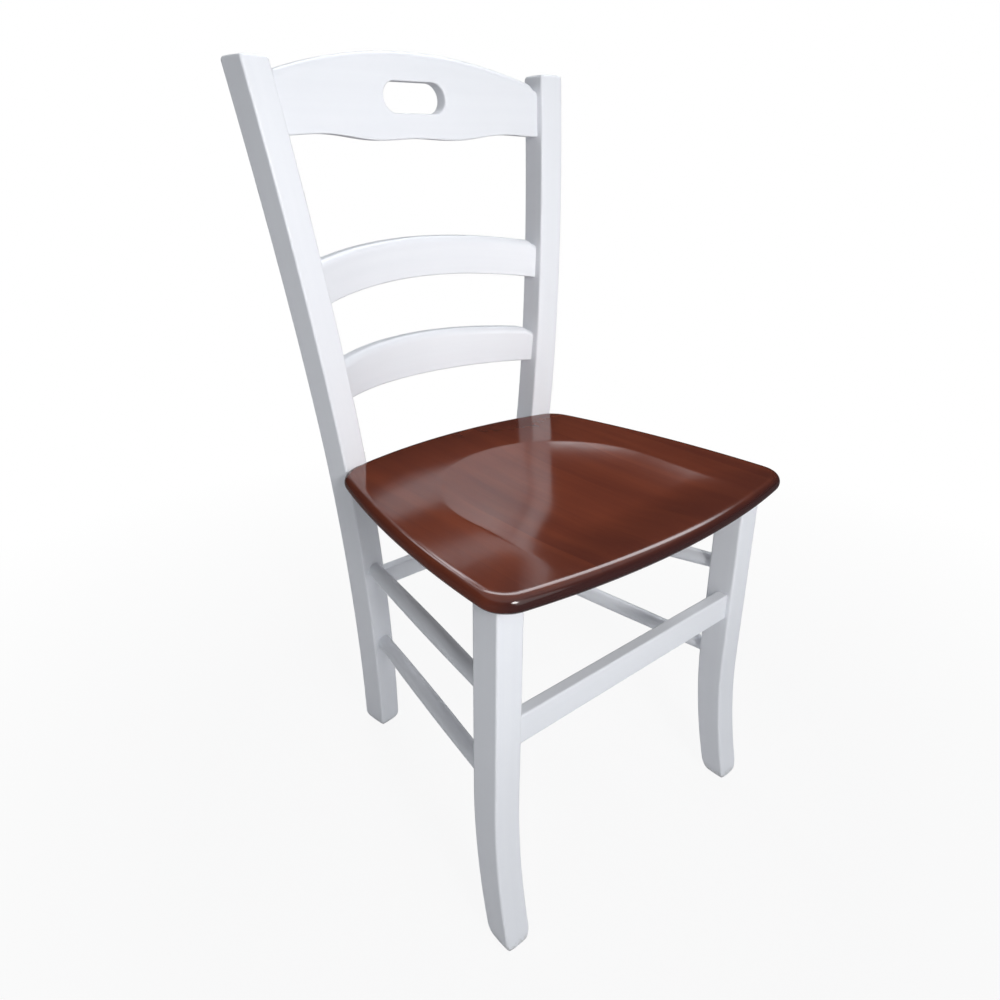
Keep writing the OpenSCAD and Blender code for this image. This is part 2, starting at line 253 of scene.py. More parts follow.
def startPaint(name, roughness, shine=0.5):
    paint = bpy.data.materials.new(name)
    paint.use_nodes = True
    tree = paint.node_tree
    shader = tree.nodes["Principled BSDF"]
    shader.inputs["Roughness"].default_value = roughness
    shader.inputs["Specular IOR Level"].default_value = shine
    return paint, tree, shader


def mixColour(tree, amount, first, second):
    node = addNode(tree, "ShaderNodeMix", data_type="RGBA")
    feed(tree, node.inputs[0], amount)
    feed(tree, node.inputs[6], first)
    feed(tree, node.inputs[7], second)
    return node.outputs[2]


def mottle(tree, vector, scale, detail, roughness=0.55):
    node = addNode(tree, "ShaderNodeTexNoise",
                   {"Vector": vector, "Scale": scale, "Detail": detail, "Roughness": roughness})
    return fieldValue(tree, node.outputs["Fac"])


def stretched(tree, vector, scales):
    return addNode(tree, "ShaderNodeMapping", {"Vector": vector, "Scale": scales}).outputs[0]


def bumped(tree, height, depth, before=None):
    node = addNode(tree, "ShaderNodeBump", {"Height": height, "Distance": depth, "Strength": 1.0})
    if before is not None:
        tree.links.new(before, node.inputs["Normal"])
    return node.outputs[0]


def makeLacquer(look):
    paint, tree, shader = startPaint("whiteLacquer", look["roughness"], look["shine"])
    grain = addNode(tree, "ShaderNodeAttribute", attribute_name="grain").outputs["Vector"]
    spot = addNode(tree, "ShaderNodeTexCoord").outputs["Object"]
    streak = mottle(tree, stretched(tree, grain, look["streaks"]), 1.0, 4.0, 0.6)
    cloud = mottle(tree, spot, look["cloudScale"], 2.0)
    tone = (streak - 0.5) * look["streakTone"] + (cloud - 0.5) * look["cloudTone"]
    tone = (tone + look["baseTone"]).clip()
    colour = mixColour(tree, tone, look["colour"], look["shade"])
    height = splitVector(tree, spot)[2]
    speck = mottle(tree, spot, look["scuffScale"], 2.0)
    speck = ((speck - look["scuffFrom"]) * look["scuffContrast"]).clip()
    scuffed = (1.0 - height / look["scuffHeight"]).clip() * speck * look["scuffShare"]
    colour = mixColour(tree, scuffed, colour, look["scuff"])
    feed(tree, shader.inputs["Base Color"], colour)
    normal = bumped(tree, streak, look["streakDepth"])
    peel = mottle(tree, spot, look["peelScale"], 1.0)
    normal = bumped(tree, peel, look["peelDepth"], normal)
    tree.links.new(normal, shader.inputs["Normal"])
    return paint


def makeVarnish(look):
    paint, tree, shader = startPaint("brownVarnish", look["roughness"], look["shine"])
    spot = addNode(tree, "ShaderNodeTexCoord").outputs["Object"]
    x, y, z = splitVector(tree, spot)
    board = (x / look["boards"] + 0.5).join("FLOOR")
    ownTone = addNode(tree, "ShaderNodeTexWhiteNoise", {"W": board * look["boardSeed"]},
                      noise_dimensions="1D")
    shiftX, shiftY = look["boardShift"]
    shifted = joinVector(tree, x + board * shiftX, y + board * shiftY, z)
    figure = mottle(tree, stretched(tree, shifted, look["grain"]), 1.0, 5.0, 0.6)
    pores = mottle(tree, stretched(tree, shifted, look["pores"]), 1.0, 1.0)
    cloud = mottle(tree, spot, look["cloudScale"], 2.0)
    boardTone = fieldValue(tree, ownTone.outputs["Value"])
    tone = figure * look["figureTone"] + cloud * look["cloudTone"] + boardTone * look["boardTone"]
    colour = mixColour(tree, (tone - look["toneDrop"]).clip(), look["dark"], look["light"])
    pores = ((pores - look["poreFrom"]) * look["poreContrast"]).clip() * look["poreShare"]
    colour = mixColour(tree, pores, colour, look["dark"])
    # the rim attribute darkens the seat's edge and underside: partly toner stain, partly painted
    # shade
    rim = addNode(tree, "ShaderNodeAttribute", attribute_name="rim").outputs["Fac"]
    colour = mixColour(tree, rim, colour, look["rim"])
    feed(tree, shader.inputs["Base Color"], colour)
    normal = bumped(tree, figure, look["figureDepth"])
    wave = mottle(tree, spot, look["waveScale"], 1.0)
    normal = bumped(tree, wave, look["waveDepth"], normal)
    tree.links.new(normal, shader.inputs["Normal"])
    return paint


def makeBeech(look):
    paint, tree, shader = startPaint("bareBeech", look["roughness"])
    spot = addNode(tree, "ShaderNodeTexCoord").outputs["Object"]
    figure = mottle(tree, stretched(tree, spot, look["grain"]), 1.0, 4.0)
    feed(tree, shader.inputs["Base Color"], mixColour(tree, figure, look["light"], look["dark"]))
    tree.links.new(bumped(tree, figure, look["grainDepth"]), shader.inputs["Normal"])
    return paint


whiteLacquer = makeLacquer(lacquerLook)
brownVarnish = makeVarnish(varnishLook)
bareBeech = makeBeech(beechLook)
for name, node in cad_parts.items():
    node.data.materials.clear()
    node.data.materials.append(bareBeech if name.endswith("dowels") else whiteLacquer)
print("chair: finishes mixed")

barShape = {
    "arrisSteps": 12,
    "rimPoints": 132,
    "packing": 0.92,                    # 0 leaves the rings even, 1 closes them up at the ends
    "grainAside": 0.7,
}


# a straight bar up +Z with rounded arrises, one of them softer, and rings packed towards its ends
def makeBarTree(look):
    tree, given = startTree("straight bar", ["Width", "Depth", "Length", "Arris", "Soft Arris",
                                             "Stations", "Grain Shift"])
    line = addNode(tree, "GeometryNodeCurvePrimitiveLine",
                   {"End": joinVector(tree, 0.0, 0.0, given["Length"])})
    rings = addNode(tree, "GeometryNodeResampleCurve",
                    {"Curve": line.outputs[0], "Count": given["Stations"]})
    outline = addNode(tree, "GeometryNodeCurvePrimitiveQuadrilateral",
                      {"Width": given["Width"], "Height": given["Depth"]})
    corner = fieldPoint(tree)
    soft = corner[0].join("GREATER_THAN", 0.0) * corner[1].join("LESS_THAN", 0.0)
    radius = given["Arris"] + soft * (given["Soft Arris"] - given["Arris"])
    rounded = addNode(tree, "GeometryNodeFilletCurve",
                      {"Curve": outline.outputs[0], "Count": look["arrisSteps"],
                       "Radius": radius, "Limit Radius": True}, mode="POLY")
    even = addNode(tree, "GeometryNodeResampleCurve",
                   {"Curve": rounded.outputs[0], "Count": look["rimPoints"]})
    swept = addNode(tree, "GeometryNodeCurveToMesh",
                    {"Curve": rings.outputs[0], "Profile Curve": even.outputs[0],
                     "Fill Caps": True})
    x, y, z = fieldPoint(tree)
    turn = z / given["Length"] * (2 * pi)
    packed = z - turn.sine() * given["Length"] * (look["packing"] / (2 * pi))
    mesh = place(tree, swept.outputs[0], x, y, packed)
    x, y, z = fieldPoint(tree)
    shift = given["Grain Shift"]
    mesh = keepGrain(tree, mesh, x + shift, y + shift * look["grainAside"], z)
    return endTree(tree, given, mesh)


bendShape = {
    "cornerPull": 0.06,
    "leastRise": 0.0001,                # keeps a division clear of zero
}


# the bar drawn in to a rounded top and foot, the foot's corners most, bent to its curve, leaned
# and turned
def makeBendTree(look):
    tree, given = startTree("bent leg", ["Width", "Depth", "Height", "Bend Height", "Foot Depth",
                                         "Rake", "Rake Power", "Kick", "Kick Power", "Lean", "Turn",
                                         "Top Round", "Foot Round", "Foot Inset", "Start X",
                                         "Start Y"])
    x, y, z = fieldPoint(tree)
    height, bend = given["Height"], given["Bend Height"]
    topStep = (1.0 - (height - z) / given["Top Round"]).clip()
    footStep = (1.0 - z / given["Foot Round"]).clip()
    drawn = given["Top Round"] * (1.0 - (1.0 - topStep * topStep).root())
    drawn = drawn + given["Foot Inset"] * (1.0 - (1.0 - footStep * footStep).root())
    taper = (z / bend).clip() * (given["Depth"] - given["Foot Depth"]) / given["Depth"]
    taper = taper + given["Foot Depth"] / given["Depth"]
    corner = (x * y * 4.0 / (given["Width"] * given["Depth"])) ** 2.0
    pulled = 1.0 - corner * footStep * footStep * look["cornerPull"]
    across = x * (1.0 - drawn * 2.0 / given["Width"]) * pulled
    through = (y * (1.0 - drawn * 2.0 / given["Depth"]) * pulled + given["Depth"] / 2.0) * taper
    above = ((z - bend) / (height - bend + look["leastRise"])).clip()
    below = ((bend - z) / bend).clip()
    curve = given["Rake"] * above ** given["Rake Power"]
    curve = curve + given["Kick"] * below ** given["Kick Power"]
    c, s = given["Turn"].cosine(), given["Turn"].sine()
    newX = given["Start X"] + z * given["Lean"] + across * c + through * s
    newY = given["Start Y"] + curve - across * s + through * c
    return endTree(tree, given, place(tree, given["Mesh"], newX, newY, z))


bowShape = {
    "endDrop": 0.8,
    "endCurve": 0.97,                   # 1 would stand the end of the curve upright
}


# the bar bowed in plan and arched in elevation: its X becomes height, its Z runs across the chair
def makeBowTree(look):
    tree, given = startTree("bowed board", ["Length", "Height", "Thickness", "Half Chord", "Bow",
                                            "Rake Angle", "Low Arch", "High Arch", "End Round",
                                            "Start Y", "Start Z"])
    x, y, z = fieldPoint(tree)
    chord, bow = given["Half Chord"], given["Bow"]
    radius = (chord * chord + bow * bow) / (bow * 2.0)
    swing = (z - given["Length"] / 2.0) / radius
    ring = radius + y + given["Thickness"] / 2.0
    newX = ring * swing.sine()
    back = ring * swing.cosine() - radius + bow
    side = newX.join("ABSOLUTE")
    arch = 1.0 - (newX / chord) ** 2.0
    upper = x / given["Height"] + 0.5
    drop = ((side - chord) / given["End Round"] + 1.0).clip()
    drop = 1.0 - (1.0 - drop * drop * look["endCurve"]).root()
    drop = given["End Round"] * look["endDrop"] * drop
    arch = arch * (given["Low Arch"] * (1.0 - upper) + given["High Arch"] * upper)
    rise = x + arch - drop * upper
    lean = given["Rake Angle"]
    newY = given["Start Y"] + back / lean.cosine() + rise * lean.sine() / lean.cosine()
    mesh = place(tree, given["Mesh"], newX, newY, given["Start Z"] + rise)
    return endTree(tree, given, mesh)


rodShape = {
    "rings": 120,
    "sides": 48,
    "flarePower": 26.0,                 # the higher, the shorter the flare
}


# a turned rod: fuller in the middle, with a slight flare where it meets the leg and the post
def makeRodTree(look):
    tree, given = startTree("turned rod", ["Start X", "Start Y", "Start Z", "End X", "End Y",
                                           "End Z", "Middle Radius", "End Radius", "Flare",
                                           "Grain Shift"])
    line = addNode(tree, "GeometryNodeCurvePrimitiveLine",
                   {"Start": joinVector(tree, given["Start X"], given["Start Y"], given["Start Z"]),
                    "End": joinVector(tree, given["End X"], given["End Y"], given["End Z"])})
    rings = addNode(tree, "GeometryNodeResampleCurve",
                    {"Curve": line.outputs[0], "Count": look["rings"]})
    travel = addNode(tree, "GeometryNodeSplineParameter")
    share = fieldValue(tree, travel.outputs["Factor"]) * 2.0 - 1.0
    reach = fieldValue(tree, travel.outputs["Length"])
    slim = given["Middle Radius"] - given["End Radius"]
    nearEnd = share.join("ABSOLUTE") ** look["flarePower"]
    radius = given["Middle Radius"] - slim * share * share + given["Flare"] * nearEnd
    kept = addNode(tree, "GeometryNodeStoreNamedAttribute",
                   {"Geometry": rings.outputs[0], "Name": "reach", "Value": reach},
                   data_type="FLOAT", domain="POINT")
    circle = addNode(tree, "GeometryNodeCurvePrimitiveCircle",
                     {"Resolution": look["sides"], "Radius": 1.0})
    swept = addNode(tree, "GeometryNodeCurveToMesh",
                    {"Curve": kept.outputs[0], "Profile Curve": circle.outputs[0],
                     "Scale": radius, "Fill Caps": True})
    point = fieldPoint(tree)
    along = addNode(tree, "GeometryNodeInputNamedAttribute", {"Name": "reach"}, data_type="FLOAT")
    mesh = keepGrain(tree, swept.outputs[0], point[0] + given["Grain Shift"], point[2],
                     fieldValue(tree, along.outputs["Attribute"]))
    return endTree(tree, given, mesh)


barTree = makeBarTree(barShape)
bendTree = makeBendTree(bendShape)
bowTree = makeBowTree(bowShape)
rodTree = makeRodTree(rodShape)
print("chair: shaping trees ready")

# back posts: square bars that lean out, rake back above the seat and kick back below it

backPost = {
    "width": 33 * mm,
    "depth": 38.5 * mm,
    "turn": radians(7.5),
    "rake": 44.7 * mm,
    "rakePower": 1.7,
    "kick": 52 * mm,
    "kickPower": 1.85,
    "arris": 2.4 * mm,
    "softArris": 3.4 * mm,
    "topRound": 5 * mm,
    "footRound": 16 * mm,
    "footInset": 5 * mm,
    "stations": 110,
    "grainShift": 0.31,                 # where in the grain it was cut from
}

seatLow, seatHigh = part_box("seat_panel")
postLow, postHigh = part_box("right_back_post")
turnCos, turnSin = cos(backPost["turn"]), sin(backPost["turn"])
postTopX = postHigh.x - backPost["depth"] * turnSin
postLean = (postTopX - postLow.x - backPost["width"] * turnCos) / postHigh.z


def postCentreX(z):
    return postLow.x + backPost["width"] * turnCos / 2 + postLean * z


def postRake(z):
    if z > seatHigh.z:
        above = (z - seatHigh.z) / (postHigh.z - seatHigh.z)
        return backPost["rake"] * above ** backPost["rakePower"]
    below = (seatHigh.z - z) / seatHigh.z
    return backPost["kick"] * below ** backPost["kickPower"]


def postRakeAngle(z):
    return atan((postRake(z + mm) - postRake(z)) / mm)


def postInnerX(z):
    return postCentreX(z) - backPost["width"] * turnCos / 2


def postInnerY(z):
    return postLow.y + postRake(z) + backPost["width"] * turnSin


def makePost(name, node, side, look):
    piece = dressed(newPiece(name), barTree, {
        "Width": look["width"], "Depth": look["depth"], "Length": postHigh.z,
        "Arris": look["arris"], "Soft Arris": look["softArris"], "Stations": look["stations"],
        "Grain Shift": side * look["grainShift"],
    }, whiteLacquer)
    dressed(piece, bendTree, {
        "Width": look["width"], "Depth": look["depth"], "Height": postHigh.z,
        "Bend Height": seatHigh.z, "Foot Depth": look["depth"], "Rake": look["rake"],
        "Rake Power": look["rakePower"], "Kick": look["kick"], "Kick Power": look["kickPower"],
        "Lean": side * postLean, "Turn": side * look["turn"], "Top Round": look["topRound"],
        "Foot Round": look["footRound"], "Foot Inset": look["footInset"],
        "Start X": side * postCentreX(0), "Start Y": postLow.y + look["width"] * turnSin / 2,
    }, whiteLacquer)
    handOver(settled(piece), "white_lacquer", node)


makePost("leftBackPost", "left_back_post", -1, backPost)
makePost("rightBackPost", "right_back_post", 1, backPost)
print("chair: back posts bent")

# front legs: straight below the seat, swept forward at the foot

frontLeg = {
    "width": 33 * mm,
    "depth": 37 * mm,
    "footDepth": 33 * mm,
    "sweep": 24 * mm,
    "sweepHeight": 190 * mm,
    "lean": radians(0.8),
    "arris": 2.6 * mm,
    "topRound": 0.2 * mm,               # hardly any, under the seat
    "footRound": 20 * mm,
    "footInset": 5 * mm,
    "stations": 96,
    "grainShift": 0.47,
}

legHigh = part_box("right_front_leg")[1]
legFront = legHigh.y - frontLeg["depth"]


def legCentreX(z):
    return legHigh.x - frontLeg["width"] / 2 - z * tan(frontLeg["lean"])


def makeLeg(name, node, side, look):
    piece = dressed(newPiece(name), barTree, {
        "Width": look["width"], "Depth": look["depth"], "Length": legHigh.z,
        "Arris": look["arris"], "Soft Arris": look["arris"], "Stations": look["stations"],
        "Grain Shift": side * look["grainShift"],
    }, whiteLacquer)
    dressed(piece, bendTree, {
        "Width": look["width"], "Depth": look["depth"], "Height": legHigh.z,
        "Bend Height": look["sweepHeight"], "Foot Depth": look["footDepth"], "Rake": 0,
        "Rake Power": 1, "Kick": -look["sweep"], "Kick Power": 2, "Lean": -side * tan(look["lean"]),
        "Turn": 0, "Top Round": look["topRound"], "Foot Round": look["footRound"],
        "Foot Inset": look["footInset"], "Start X": side * legCentreX(0), "Start Y": legFront,
    }, whiteLacquer)
    handOver(settled(piece), "white_lacquer", node)


makeLeg("leftFrontLeg", "left_front_leg", -1, frontLeg)
makeLeg("rightFrontLeg", "right_front_leg", 1, frontLeg)
print("chair: front legs bent")

# slats and crest rail: bars bowed in plan and arched in elevation

upperSlat = {
    "height": 47 * mm,
    "thickness": 18 * mm,
    "bow": 38 * mm,
    "lowArch": 12.5 * mm,
    "highArch": 12.5 * mm,
    "setback": 12 * mm,
    "arris": 1.8 * mm,
    "softArris": 8 * mm,
    "endRound": 7 * mm,
    "run": 8 * mm,                      # how far it goes into the posts
    "stations": 90,
}

lowerSlat = dict(upperSlat, height=44 * mm, bow=50 * mm, lowArch=-2.75 * mm, highArch=5.5 * mm)


def bowRadius(half, bow):
    return (half * half + bow * bow) / (2 * bow)


def boardPlace(look, middle):
    chord = postInnerX(middle)
    radius = bowRadius(chord, look["bow"])
    return {
        "Length": 2 * radius * asin((chord + look["run"]) / radius), "Height": look["height"],
        "Thickness": look["thickness"], "Half Chord": chord, "Bow": look["bow"],
        "Rake Angle": postRakeAngle(middle), "Low Arch": look["lowArch"],
        "High Arch": look["highArch"], "End Round": look["endRound"],
        "Start Y": postInnerY(middle) + look["setback"], "Start Z": middle,
    }


def makeSlat(name, node, look, shift):
    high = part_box(node)[1]
    middle = high.z - look["highArch"] - look["height"] / 2
    spot = boardPlace(look, middle)
    piece = dressed(newPiece(name), barTree, {
        "Width": look["height"], "Depth": look["thickness"], "Length": spot["Length"],
        "Arris": look["arris"], "Soft Arris": look["softArris"], "Stations": look["stations"],
        "Grain Shift": shift,
    }, whiteLacquer)
    dressed(piece, bowTree, spot, whiteLacquer)
    handOver(settled(piece), "white_lacquer", node)


makeSlat("upperSlat", "upper_back_slat", upperSlat, 0.11)
makeSlat("lowerSlat", "lower_back_slat", lowerSlat, 0.23)

crestRail = {
    "height": 61 * mm,
    "thickness": 18 * mm,
    "bow": 11.5 * mm,
    "arch": 28.5 * mm,
    "wave": 1.6 * mm,
    "waves": 3,
    "waveFall": 1.8,                    # how much lower the wave runs in the middle
    "setback": 10 * mm,
    "arris": 2 * mm,
    "backArris": 3 * mm,
    "softArris": 8 * mm,
    "endRound": 7 * mm,
    "endInset": 2 * mm,
    "run": 9 * mm,
    "slotLength": 86 * mm,
    "slotHeight": 33 * mm,
    "slotUp": 42 * mm,
    "slotArris": 2 * mm,
    "slotCorner": radians(50),          # how much of each round end counts as its long side
    "lowArch": 0,                       # its mesh is arched already
    "highArch": 0,
    "longSteps": 84,
    "endSteps": 22,
    "faceSteps": 30,
    "roundSteps": 6,
    "grainShift": 0.05,
}


def crestEdge(look, chord, radius, along):
    x = radius * sin(along / radius)
    half, u = look["height"] / 2, pi * abs(x) / chord
    low = -half + look["wave"] * (cos(look["waves"] * u) - look["waveFall"] * cos(u))
    return low, half + look["arch"] * (1 - (x / chord) ** 2)


def crestOutline(length, longSteps, endSteps):
    # the rail's rim as (distance along the rail, share of the way up its face)
    rim = [((k / longSteps - 0.5) * length, 0.0) for k in range(longSteps)]
    rim += [(length / 2, k / endSteps) for k in range(endSteps)]
    rim += [((0.5 - k / longSteps) * length, 1.0) for k in range(longSteps)]
    return rim + [(-length / 2, 1 - k / endSteps) for k in range(endSteps)]


def slotOutline(look, longSteps, endSteps):
    r = look["slotHeight"] / 2
    straight = look["slotLength"] / 2 - r
    up = look["slotUp"] - look["height"] / 2
    points = []

    def slotPoint(reach):
        # the slot's edge by distance, from the middle of its lower side
        lap = 4 * straight + 2 * pi * r
        reach = reach % lap
        if reach < straight:
            return (reach, -r + up), (0, -1)
        if reach < straight + pi * r:
            a = (reach - straight) / r - pi / 2
            return (straight + r * cos(a), r * sin(a) + up), (cos(a), sin(a))
        if reach < 3 * straight + pi * r:
            return (2 * straight + pi * r - reach, r + up), (0, 1)
        if reach < 3 * straight + 2 * pi * r:
            a = (reach - 3 * straight - pi * r) / r + pi / 2
            return (-straight + r * cos(a), r * sin(a) + up), (cos(a), sin(a))
        return (reach - lap, -r + up), (0, -1)

    def section(first, last, steps):
        for k in range(steps):
            points.append(slotPoint(first + (last - first) * k / steps))

    side = straight + look["slotCorner"] * r
    end = (pi - 2 * look["slotCorner"]) * r
    section(-side, side, longSteps)
    section(side, side + end, endSteps)
    section(side + end, 3 * side + end, longSteps)
    section(3 * side + end, 3 * side + 2 * end, endSteps)
    return points


def makeCrest(look):
    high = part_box("crest_rail")[1]
    middle = high.z - look["arch"] - look["height"] / 2
    spot = boardPlace(look, middle)
    chord, length, thick = spot["Half Chord"], spot["Length"], look["thickness"]
    radius = bowRadius(chord, look["bow"])
    faceSteps, roundSteps = look["faceSteps"], look["roundSteps"]
    outer = crestOutline(length, look["longSteps"], look["endSteps"])
    inner = slotOutline(look, look["longSteps"], look["endSteps"])
    slotRound, backRound = look["slotArris"], look["backArris"]
    angles = [pi / 2 * k / roundSteps for k in range(roundSteps + 1)]
    rows = []

    def rimPoint(along, share, inset, lowRound, highRound):
        along = along * (1 - 2 * look["endInset"] * inset / length)
        low, high = crestEdge(look, chord, radius, along)
        low, high = low + lowRound * inset, high - highRound * inset
        return low + (high - low) * share, along

    for (along, share), (slotAt, slotOut) in zip(outer, inner):
        soft = look["arris"] + (look["softArris"] - look["arris"]) * share
        row = []

        def atSlot(out, through):
            row.append((slotAt[1] + slotOut[1] * out, through, slotAt[0] + slotOut[0] * out))

        def acrossFace(rim, through, outward):
            up = slotAt[1] + slotOut[1] * slotRound
            across = slotAt[0] + slotOut[0] * slotRound
            for k in range(1, faceSteps):
                t = 0.5 - 0.5 * cos(pi * k / faceSteps)
                t = t if outward else 1 - t
                row.append((up + (rim[0] - up) * t, through, across + (rim[1] - across) * t))

        for a in angles:
            atSlot(slotRound * (1 - cos(a)), slotRound * (1 - sin(a)))
        acrossFace(rimPoint(along, share, 1, look["arris"], look["softArris"]), 0, True)
        for a in angles:
            h, at = rimPoint(along, share, 1 - sin(a), look["arris"], look["softArris"])
            row.append((h, soft * (1 - cos(a)), at))
        for a in angles:
            h, at = rimPoint(along, share, 1 - cos(a), backRound, backRound)
            row.append((h, thick - backRound + backRound * sin(a), at))
        acrossFace(rimPoint(along, share, 1, backRound, backRound), thick, False)
        for a in angles:
            atSlot(slotRound * (1 - sin(a)), thick - slotRound * (1 - cos(a)))
        rows.append(row)
    count, lap = len(rows), len(rows[0])
    points = [(h, t - thick / 2, a + length / 2) for row in rows for h, t, a in row]
    faces = []
    for j in range(count):
        n = (j + 1) % count
        for k in range(lap):
            m = (k + 1) % lap
            faces.append((j * lap + k, n * lap + k, n * lap + m, j * lap + m))
    piece = newPiece("crestRail", points, faces)
    grain = piece.data.attributes.new("grain", "FLOAT_VECTOR", "POINT")
    for k, p in enumerate(points):
        grain.data[k].vector = (p[0] + look["grainShift"], p[1], p[2])
    dressed(piece, bowTree, spot, whiteLacquer)
    handOver(settled(piece), "white_lacquer", "crest_rail")


makeCrest(crestRail)
print("chair: slats and crest rail bowed")

# stretchers: turned rods at the sides, flat bars at the front and rear

sideRod = {
    "middleRadius": 10.4 * mm,
    "endRadius": 8.9 * mm,
    "flare": 1.3 * mm,
    "run": 6 * mm,
    "upperFall": 18 * mm,               # how much lower each one is at the post than at the leg
    "leftLowerFall": 38 * mm,
    "rightLowerFall": -23 * mm,
}


def makeRod(name, node, side, look, fall, shift):
    low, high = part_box(node)
    middle = (low.z + high.z) / 2
    legBack = legFront + frontLeg["depth"]
    front, back = middle + fall / 2, middle - fall / 2
    start = Vector((side * legCentreX(front), legBack, front))
    end = Vector((side * postCentreX(back),
                  postLow.y + postRake(back) + backPost["width"] * turnSin / 2, back))
    along = (end - start).normalized() * look["run"]
    start, end = start - along, end + along
    piece = dressed(newPiece(name), rodTree, {
        "Start X": start.x, "Start Y": start.y, "Start Z": start.z,
        "End X": end.x, "End Y": end.y, "End Z": end.z,
        "Middle Radius": look["middleRadius"], "End Radius": look["endRadius"],
        "Flare": look["flare"], "Grain Shift": shift,
    }, whiteLacquer)
    handOver(settled(piece), "white_lacquer", node)


makeRod("leftUpperRod", "left_upper_stretcher", -1, sideRod, sideRod["upperFall"], 0.05)
makeRod("rightUpperRod", "right_upper_stretcher", 1, sideRod, sideRod["upperFall"], 0.17)
makeRod("leftLowerRod", "left_lower_stretcher", -1, sideRod, sideRod["leftLowerFall"], 0.29)
makeRod("rightLowerRod", "right_lower_stretcher", 1, sideRod, sideRod["rightLowerFall"], 0.41)

flatBar = {
    "thickness": 15 * mm,
    "arris": 2 * mm,
    "run": 6 * mm,
    "stations": 30,
}


def makeFlatBar(name, node, look, shift):
    low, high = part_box(node)
    length = high.x - low.x + 2 * look["run"]
    piece = settled(dressed(newPiece(name), barTree, {
        "Width": high.z - low.z, "Depth": look["thickness"], "Length": length,
        "Arris": look["arris"], "Soft Arris": look["arris"], "Stations": look["stations"],
        "Grain Shift": shift,
    }, whiteLacquer))
    leftEnd = Matrix.Translation((-length / 2, (low.y + high.y) / 2, (low.z + high.z) / 2))
    laid = Matrix.Rotation(pi / 2, 4, "Y") @ Matrix.Rotation(pi, 4, "Z")
    piece.data.transform(leftEnd @ laid)
    handOver(piece, "white_lacquer", node)


makeFlatBar("frontBar", "front_stretcher", flatBar, 0.07)
makeFlatBar("rearBar", "rear_stretcher", flatBar, 0.19)
print("chair: stretchers in")

# seat: a board with four bowed edges, a full round on its edge and a scooped hollow

seatBoard = {
    "frontWidth": 449 * mm,
    "backWidth": 352 * mm,
    "frontBow": 26 * mm,
    "backBow": 26 * mm,
    "sideBow": 12.5 * mm,
    "frontCornerRadius": 33 * mm,
    "backCornerRadius": 43 * mm,
    "scoopHalfWidth": 143 * mm,
    "scoopBackRim": 86 * mm,
    "scoopDepth": 8 * mm,
    "scoopRun": 105 * mm,               # how far in the hollow reaches its full depth
    "scoopBrim": 1.6 * mm,              # the softness of its brim
    "scoopOutside": 6 * mm,             # and how far out that is felt
    "scoopFrontStart": 12 * mm,         # the hollow runs out between these two at the front
    "scoopFrontFade": 95 * mm,
    "topEdgeShade": 0.35,               # how much of the edge's dark toner stain and painted shade is left on the top
    "topShadeRun": 0.5,
    "upperEdgeFrom": 1.9,               # from here on round the edge, in radians, it gets lighter, the painted shade easing as the edge turns up
    "sideEdgePaintedLight": 0.62,               # painted light: the side edges, where the light falls, are darkened less than the front one
    "sideEdgePower": 4,
    "sideEdgeFrom": 0.2,                # and that sets in between these two angles
    "sideEdgeTo": 0.9,
    "underStart": 0.98,                 # how near the centre the rings start below and end above
    "topEnd": 0.985,
    "underSteps": 10,
    "edgeSteps": 14,
    "topSteps": 90,
    "bowSteps": 60,
    "cornerSteps": 40,
    "outlinePoints": 360,
}


def cornerCentre(first, second, corner, near):
    # the point that lies one corner radius inside both discs
    (firstAt, firstRadius), (secondAt, secondRadius) = first, second
    between = secondAt - firstAt
    gap = between.length
    reach, other = firstRadius - corner, secondRadius - corner
    along = (reach ** 2 - other ** 2 + gap ** 2) / (2 * gap)
    aside = Vector((-between.y, between.x)) * (sqrt(reach ** 2 - along ** 2) / gap)
    middle = firstAt + between * (along / gap)
    return min(middle + aside, middle - aside, key=lambda p: (p - near).length)


def seatOutline(look):
    halfFront, halfBack = look["frontWidth"] / 2, look["backWidth"] / 2
    frontCorner = Vector((halfFront, seatLow.y + look["frontBow"]))
    backCorner = Vector((halfBack, seatHigh.y - look["backBow"]))
    run = backCorner - frontCorner
    out = Vector((run.y, -run.x)).normalized()
    frontRadius = bowRadius(halfFront, look["frontBow"])
    backRadius = bowRadius(halfBack, look["backBow"])
    sideRadius = bowRadius(run.length / 2, look["sideBow"])
    front = (Vector((0, seatLow.y + frontRadius)), frontRadius)
    back = (Vector((0, seatHigh.y - backRadius)), backRadius)
    side = ((frontCorner + backCorner) / 2 + out * (look["sideBow"] - sideRadius), sideRadius)
    half = []

    def bearing(disc, point):
        return atan2(point.y - disc[0].y, point.x - disc[0].x)

    def arc(disc, first, last, steps):
        for k in range(steps + 1):
            a = first + (last - first) * k / steps
            half.append(disc[0] + Vector((cos(a), sin(a))) * disc[1])

    frontRound = look["frontCornerRadius"]
    backRound = look["backCornerRadius"]
    frontTurn = (cornerCentre(front, side, frontRound, frontCorner), frontRound)
    backTurn = (cornerCentre(back, side, backRound, backCorner), backRound)
    bowSteps, cornerSteps = look["bowSteps"], look["cornerSteps"]
    arc(front, -pi / 2, bearing(front, frontTurn[0]), bowSteps)
    arc(frontTurn, bearing(front, frontTurn[0]), bearing(side, frontTurn[0]), cornerSteps)
    arc(side, bearing(side, frontTurn[0]), bearing(side, backTurn[0]), bowSteps)
    arc(backTurn, bearing(side, backTurn[0]), bearing(back, backTurn[0]), cornerSteps)
    arc(back, bearing(back, backTurn[0]), pi / 2, bowSteps)
    lap = half + [Vector((-p.x, p.y)) for p in reversed(half[1:-1])]
    return evenLap(lap, look["outlinePoints"])


